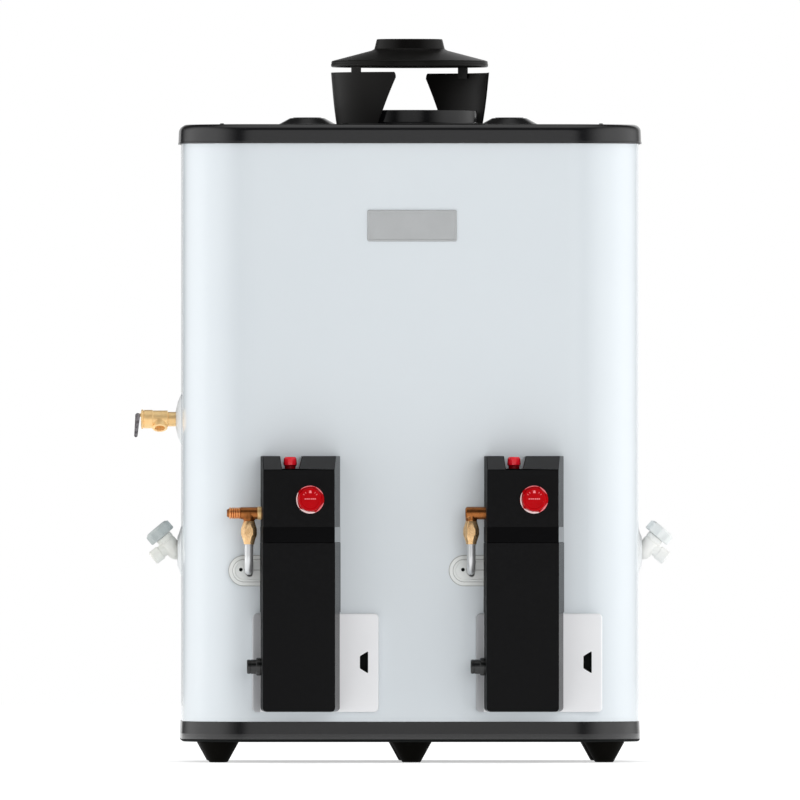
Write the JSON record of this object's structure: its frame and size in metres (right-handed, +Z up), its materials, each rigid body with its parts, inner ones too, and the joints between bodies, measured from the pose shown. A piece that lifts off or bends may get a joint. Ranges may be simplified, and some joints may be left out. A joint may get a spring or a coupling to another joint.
{
  "type": "gas storage water heater",
  "caption": "Floor-standing gas water heater: burner tanks side by side in a white enamelled casing with a draught hood, control units, relief valve and drain cocks.",
  "frame": {"origin": "on the floor, under the middle of the casing and of the six feet, on the flue hood's axis", "axes": "+Z up along the flue collar, -Y to the front with the two control units, +X to the right seen from the front"},
  "size_m": [0.7994, 0.4691, 1.0701],
  "materials": {
    "casing_enamel": "cool white gloss enamel",
    "cover_black": "satin black paint",
    "hood_black": "matt black heat paint",
    "foot_black": "dark moulded",
    "plate_silver": "satin, bare",
    "sheet_steel": "galvanised",
    "tank_steel": "primed",
    "glass_wool": "fibrous blanket",
    "anode_metal": "cast rod",
    "brass": "turned",
    "tube_aluminium": "drawn",
    "burner_iron": "as cast",
    "valve_alloy": "die cast",
    "control_black": "satin moulded",
    "dial_red": "glossy moulded",
    "button_red": "moulded",
    "igniter_black": "moulded",
    "door_white": "gloss enamel",
    "plate_white": "zinc and paint",
    "fitting_white": "moulded nylon",
    "lever_steel": "pressed"
  },
  "bodies": {
    "root": {"feet": "foot_black", "bottom_pan": "cover_black", "outer_casing": "casing_enamel", "top_cover": "cover_black", "nameplate": "plate_silver", "hood_ring": "hood_black", "hood_leg_left": "hood_black", "hood_leg_right": "hood_black", "hood_cap": "hood_black", "insulation": "glass_wool", "crossover_pipes": "tank_steel", "dip_tube": "fitting_white", "flue_collector": "sheet_steel", "collector_lid": "sheet_steel", "gas_tee": "brass", "gas_elbow": "brass", "flare_nuts": "brass", "gas_bridge_tube": "tube_aluminium", "relief_valve": "brass", "relief_rosette": "plate_white", "relief_lever_pin": "lever_steel", "tank_left": "tank_steel", "anode_rod_left": "anode_metal", "water_socket_left": "sheet_steel", "flue_baffle_left": "sheet_steel", "burner_left": "burner_iron", "burner_lines_left": "tube_aluminium", "gas_valve_left": "valve_alloy", "control_cover_left": "control_black", "tube_cover_left": "control_black", "port_plate_left": "plate_white", "igniter_housing_left": "igniter_black", "door_rails_left": "plate_white", "drain_rosette_left": "plate_white", "drain_body_left": "fitting_white", "tank_right": "tank_steel", "anode_rod_right": "anode_metal", "water_socket_right": "sheet_steel", "flue_baffle_right": "sheet_steel", "burner_right": "burner_iron", "burner_lines_right": "tube_aluminium", "gas_valve_right": "valve_alloy", "control_cover_right": "control_black", "tube_cover_right": "control_black", "port_plate_right": "plate_white", "igniter_housing_right": "igniter_black", "door_rails_right": "plate_white", "drain_rosette_right": "plate_white", "drain_body_right": "fitting_white"},
    "temperature_dial_left": {"temperature_dial_left": "dial_red"},
    "pilot_button_left": {"pilot_button_left": "button_red"},
    "igniter_button_left": {"igniter_button_left": "igniter_black"},
    "access_door_left": {"access_door_left": "door_white"},
    "drain_knob_left": {"drain_knob_left": "fitting_white"},
    "temperature_dial_right": {"temperature_dial_right": "dial_red"},
    "pilot_button_right": {"pilot_button_right": "button_red"},
    "igniter_button_right": {"igniter_button_right": "igniter_black"},
    "access_door_right": {"access_door_right": "door_white"},
    "drain_knob_right": {"drain_knob_right": "fitting_white"},
    "relief_lever": {"relief_lever": "lever_steel"}
  },
  "joints": [
    {"name": "temperature_dial_turn_left", "type": "hinge", "parent": "root", "child": "temperature_dial_left", "pos_m": [-0.1521, -0.275, 0.3885], "axis": [0, -1, 0], "range_deg": [0, 270]},
    {"name": "pilot_button_press_left", "type": "slide", "parent": "root", "child": "pilot_button_left", "axis": [0, 0, -1], "range_m": [0, 0.0055], "stiffness_N_per_m": 800, "springref_m": -0.003},
    {"name": "igniter_press_left", "type": "slide", "parent": "root", "child": "igniter_button_left", "axis": [1, 0, 0], "range_m": [0, 0.008], "stiffness_N_per_m": 1200, "springref_m": -0.003},
    {"name": "access_door_slide_left", "type": "slide", "parent": "root", "child": "access_door_left", "axis": [1, 0, 0], "range_m": [0, 0.13]},
    {"name": "drain_knob_turn_left", "type": "hinge", "parent": "root", "child": "drain_knob_left", "pos_m": [-0.36533, 0, 0.33319], "axis": [-0.6455, 0, 0.7638], "range_deg": [0, 540]},
    {"name": "temperature_dial_turn_right", "type": "hinge", "parent": "root", "child": "temperature_dial_right", "pos_m": [0.1779, -0.275, 0.3885], "axis": [0, -1, 0], "range_deg": [0, 270]},
    {"name": "pilot_button_press_right", "type": "slide", "parent": "root", "child": "pilot_button_right", "axis": [0, 0, -1], "range_m": [0, 0.0055], "stiffness_N_per_m": 800, "springref_m": -0.003},
    {"name": "igniter_press_right", "type": "slide", "parent": "root", "child": "igniter_button_right", "axis": [1, 0, 0], "range_m": [0, 0.008], "stiffness_N_per_m": 1200, "springref_m": -0.003},
    {"name": "access_door_slide_right", "type": "slide", "parent": "root", "child": "access_door_right", "axis": [1, 0, 0], "range_m": [0, 0.13]},
    {"name": "drain_knob_turn_right", "type": "hinge", "parent": "root", "child": "drain_knob_right", "pos_m": [0.36533, 0, 0.33319], "axis": [0.6455, 0, 0.7638], "range_deg": [0, 540]},
    {"name": "relief_lever_lift", "type": "hinge", "parent": "root", "child": "relief_lever", "pos_m": [-0.402, 0, 0.513], "axis": [0, 1, 0], "range_deg": [0, 80]}
  ]
}
